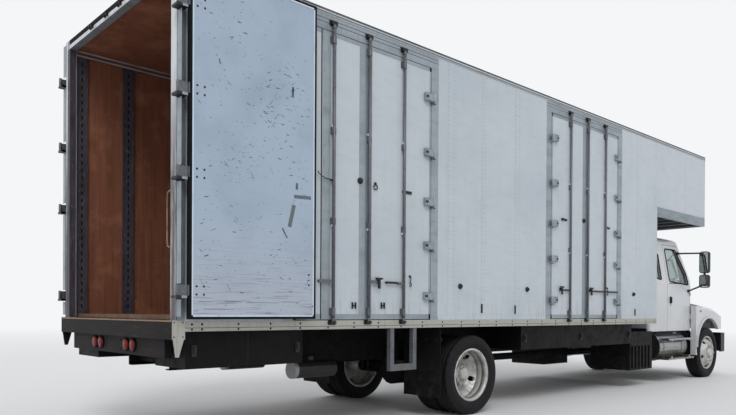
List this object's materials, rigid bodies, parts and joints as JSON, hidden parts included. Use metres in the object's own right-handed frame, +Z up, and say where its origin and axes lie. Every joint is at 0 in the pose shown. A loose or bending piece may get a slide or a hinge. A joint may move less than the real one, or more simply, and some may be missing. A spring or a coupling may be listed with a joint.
{
  "type": "box truck",
  "caption": "Moving-van box truck: conventional cab, long box body with a nose over the cab, folding rear doors and side doors, for carrying household goods",
  "frame": {"origin": "centre of the bounding box in plan, on the ground under the wheels", "axes": "+X forward to the cab, +Y to the vehicle's left, +Z up"},
  "size_m": [11.448, 2.64, 3.87],
  "materials": {
    "white_sheet": "painted body sheet with road film",
    "door_inner": "painted door skin, scratched",
    "aluminium_rail": "mill-finish extrusion, dulled",
    "roof_sheet": "riveted roof sheet",
    "plywood": "stained plywood lining",
    "floor_boards": "worn hardwood boards",
    "cross_sill_metal": "weathered cross sills",
    "post_metal": "dark slotted steel",
    "bar_metal": "worn steel bar",
    "chassis_black": "black chassis paint with dust",
    "engine_grey": "cast iron",
    "sill_brown": "dark rusty steel",
    "box_black": "black painted sheet",
    "tank_metal": "polished tank and treads",
    "air_tank_grey": "grey painted steel",
    "step_grey": "grey steel",
    "flap_rubber": "black rubber sheet",
    "bumper_black": "black, scuffed",
    "cab_white": "white cab paint",
    "cab_glass": "tinted glass",
    "interior_grey": "grey trim",
    "mirror_black": "black moulded housing",
    "grille_black": "black grille",
    "lamp_clear": "clear lens",
    "tyre_rubber": "black rubber",
    "wheel_silver": "silver-grey painted steel",
    "knuckle_iron": "greasy iron"
  },
  "bodies": {
    "root": {"chassis_frame": "chassis_black", "engine_block": "engine_grey", "front_axle": "chassis_black", "rear_axle": "chassis_black", "fuel_tanks": "tank_metal", "battery_boxes": "box_black", "air_tanks": "air_tank_grey", "front_bumper": "bumper_black", "rear_sill": "sill_brown", "mud_flaps": "flap_rubber", "side_step": "step_grey", "belly_boxes": "box_black", "cross_sills": "cross_sill_metal", "load_floor": "floor_boards", "wall_left": "white_sheet", "wall_right": "white_sheet", "body_rails": "aluminium_rail", "front_walls": "white_sheet", "roof": "roof_sheet", "rear_frame": "aluminium_rail", "wall_lining": "plywood", "load_posts": "post_metal", "load_bar": "bar_metal", "side_door_1": "white_sheet", "cab_shell": "cab_white", "cab_glass": "cab_glass", "cab_interior": "interior_grey"},
    "rear_door_right": {"rear_door_right": "door_inner"},
    "rear_door_left": {"rear_door_left": "door_inner"},
    "side_door_2": {"side_door_2": "white_sheet"},
    "side_door_3": {"side_door_3": "white_sheet"},
    "side_door_4": {"side_door_4": "white_sheet"},
    "cab_door_right": {"cab_door_right": "cab_white", "door_glass_right": "cab_glass", "mirror_right": "mirror_black"},
    "cab_door_left": {"cab_door_left": "cab_white", "door_glass_left": "cab_glass", "mirror_left": "mirror_black"},
    "hood": {"hood": "cab_white", "grille": "grille_black", "headlamps": "lamp_clear"},
    "steer_right": {"knuckle_right": "knuckle_iron"},
    "steer_left": {"knuckle_left": "knuckle_iron"},
    "wheel_front_right": {"tyre_front_right": "tyre_rubber", "rim_front_right": "wheel_silver"},
    "wheel_front_left": {"tyre_front_left": "tyre_rubber", "rim_front_left": "wheel_silver"},
    "wheels_rear_right": {"tyres_rear_right": "tyre_rubber", "rims_rear_right": "wheel_silver"},
    "wheels_rear_left": {"tyres_rear_left": "tyre_rubber", "rims_rear_left": "wheel_silver"}
  },
  "joints": [
    {"name": "rear_door_right_hinge", "type": "hinge", "parent": "root", "child": "rear_door_right", "pos_m": [-5.712, -1.295, 2.4], "axis": [0, 0, 1], "range_deg": [-270, 0]},
    {"name": "rear_door_left_hinge", "type": "hinge", "parent": "root", "child": "rear_door_left", "pos_m": [-5.712, 1.295, 2.4], "axis": [0, 0, -1], "range_deg": [-270, 0]},
    {"name": "side_door_2_hinge", "type": "hinge", "parent": "root", "child": "side_door_2", "pos_m": [-2.824, -1.255, 2.4], "axis": [0, 0, -1], "range_deg": [-180, 0]},
    {"name": "side_door_3_hinge", "type": "hinge", "parent": "root", "child": "side_door_3", "pos_m": [-0.607, -1.255, 2.4], "axis": [0, 0, 1], "range_deg": [-180, 0]},
    {"name": "side_door_4_hinge", "type": "hinge", "parent": "root", "child": "side_door_4", "pos_m": [1.153, -1.255, 2.4], "axis": [0, 0, -1], "range_deg": [-180, 0]},
    {"name": "cab_door_right_hinge", "type": "hinge", "parent": "root", "child": "cab_door_right", "pos_m": [4.142, -1.0205, 1.5], "axis": [0, 0, 1], "range_deg": [0, 65]},
    {"name": "cab_door_left_hinge", "type": "hinge", "parent": "root", "child": "cab_door_left", "pos_m": [4.142, 1.0205, 1.5], "axis": [0, 0, -1], "range_deg": [0, 65]},
    {"name": "hood_hinge", "type": "hinge", "parent": "root", "child": "hood", "pos_m": [5.59, 0, 0.8], "axis": [0, -1, 0], "range_deg": [-60, 0]},
    {"name": "steer_right_kingpin", "type": "hinge", "parent": "root", "child": "steer_right", "pos_m": [4.69, -0.82, 0.445], "axis": [0, 0, 1], "range_deg": [-35, 35]},
    {"name": "steer_left_kingpin", "type": "hinge", "parent": "root", "child": "steer_left", "pos_m": [4.69, 0.82, 0.445], "axis": [0, 0, 1], "range_deg": [-35, 35]},
    {"name": "wheel_front_right_spin", "type": "hinge", "parent": "steer_right", "child": "wheel_front_right", "pos_m": [4.69, -1.003, 0.445], "axis": [0, 1, 0], "continuous": true},
    {"name": "wheel_front_left_spin", "type": "hinge", "parent": "steer_left", "child": "wheel_front_left", "pos_m": [4.69, 1.003, 0.445], "axis": [0, 1, 0], "continuous": true},
    {"name": "wheels_rear_right_spin", "type": "hinge", "parent": "root", "child": "wheels_rear_right", "pos_m": [-2.095, -0.927, 0.445], "axis": [0, 1, 0], "continuous": true},
    {"name": "wheels_rear_left_spin", "type": "hinge", "parent": "root", "child": "wheels_rear_left", "pos_m": [-2.095, 0.927, 0.445], "axis": [0, 1, 0], "continuous": true}
  ],
  "couplings": [
    {"joint": "steer_left_kingpin", "follows": "steer_right_kingpin", "ratio": 1}
  ]
}
